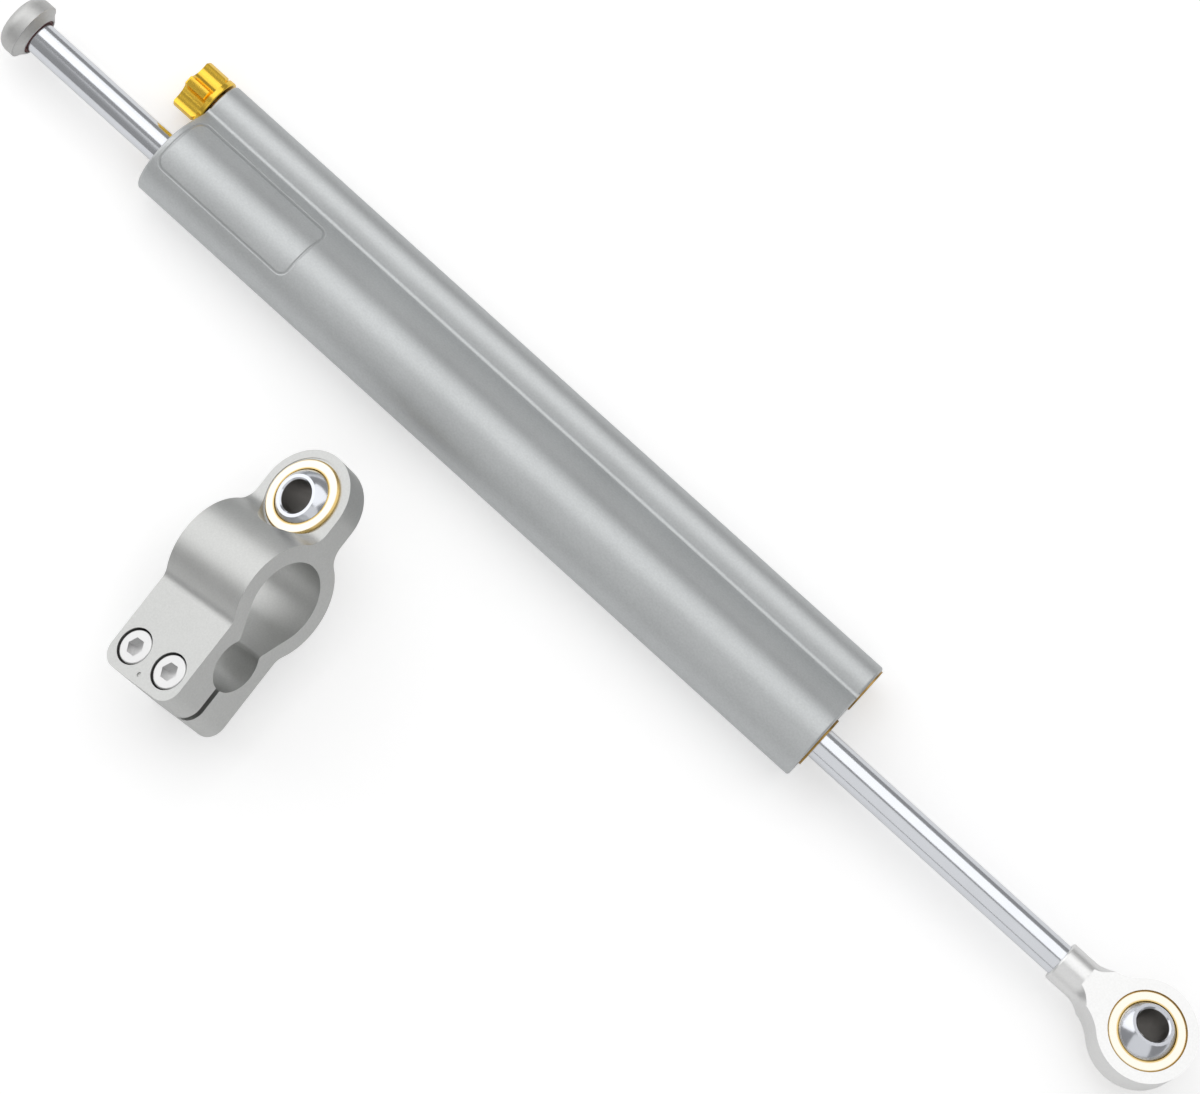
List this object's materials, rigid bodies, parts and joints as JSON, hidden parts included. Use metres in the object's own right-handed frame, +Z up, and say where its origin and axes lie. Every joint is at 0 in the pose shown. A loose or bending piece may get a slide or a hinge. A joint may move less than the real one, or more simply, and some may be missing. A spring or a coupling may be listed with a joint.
{
  "type": "linear steering damper",
  "caption": "Through-rod linear steering damper with a twin-barrel body, spherical rod eye, end button, click adjuster and a split clamp with its own spherical bearing.",
  "frame": {"origin": "centre of the rod eye's ball, with the rod where it lies in the picture", "axes": "+X along the rod from the button to the eye, +Z up, with the body's two barrels resting on one level; +Y across the rod, from the main barrel towards the side barrel"},
  "size_m": [0.3633, 0.1223, 0.0378],
  "materials": {
    "body_satin": "bead-blasted, clear anodised",
    "clamp_satin": "bead-blasted, clear anodised",
    "eye_satin": "bead-blasted, clear anodised",
    "button_satin": "bead-blasted, clear anodised",
    "rod_chrome": "hard chromed and polished",
    "ball_chrome": "polished",
    "race_gold": "turned, pale gold plated",
    "knob_gold": "satin gold anodised",
    "head_gold": "turned, gold anodised",
    "screw_steel": "zinc plated",
    "inner_steel": "turned",
    "piston_alloy": "turned",
    "bush_bronze": "lined sleeve",
    "band_polymer": "filled polymer",
    "seal_rubber": "smooth",
    "bumper_rubber": "smooth, dark red"
  },
  "bodies": {
    "barrel": {"body_tube": "body_satin", "button_side_head": "head_gold", "eye_side_head": "head_gold", "head_orings": "seal_rubber", "head_clips": "inner_steel", "rod_bushes": "bush_bronze", "rod_seals": "seal_rubber", "rod_wipers": "seal_rubber", "channel_plug": "head_gold", "plug_oring": "seal_rubber", "cartridge_housing": "head_gold", "housing_oring": "seal_rubber", "needle_seat": "inner_steel", "detent_balls": "inner_steel", "detent_springs": "inner_steel", "clamp": "clamp_satin", "clamp_screws": "screw_steel", "clamp_race": "race_gold"},
    "piston": {"piston": "piston_alloy", "piston_band": "band_polymer", "piston_oring": "seal_rubber"},
    "rod": {"rod": "rod_chrome", "snap_rings": "inner_steel", "end_button": "button_satin", "button_oring": "bumper_rubber", "rod_eye": "eye_satin", "eye_race": "race_gold"},
    "eye_ball": {"eye_ball": "ball_chrome"},
    "adjuster": {"adjuster_knob": "knob_gold", "adjuster_spindle": "inner_steel", "knob_screw": "inner_steel", "spindle_oring": "seal_rubber"},
    "needle": {"needle": "inner_steel"},
    "clamp_ball": {"clamp_ball": "ball_chrome"}
  },
  "joints": [
    {"name": "rod_slide", "type": "slide", "parent": "barrel", "child": "piston", "axis": [1, 0, 0], "range_m": [-0.073, 0.0402]},
    {"name": "rod_turn", "type": "hinge", "parent": "piston", "child": "rod", "pos_m": [0, 0, 0], "axis": [1, 0, 0], "continuous": true},
    {"name": "eye_ball_tilt", "type": "hinge", "parent": "rod", "child": "eye_ball", "pos_m": [0, 0, 0], "axis": [1, 0, 0], "range_deg": [-1, 32]},
    {"name": "clamp_ball_tilt", "type": "hinge", "parent": "barrel", "child": "clamp_ball", "pos_m": [-0.2201, -0.04082, 0.01094], "axis": [0.8579, 0.0165, 0.5135], "range_deg": [-24, 8]},
    {"name": "knob_turn", "type": "hinge", "parent": "barrel", "child": "adjuster", "pos_m": [-0.303, 0.01729, -0.0038], "axis": [1, 0, 0], "range_deg": [-180, 180]},
    {"name": "needle_travel", "type": "slide", "parent": "barrel", "child": "needle", "axis": [1, 0, 0], "range_m": [-0.00025, 0.00025]}
  ],
  "couplings": [
    {"joint": "knob_turn", "follows": "needle_travel", "rad_per_m": 12566}
  ]
}
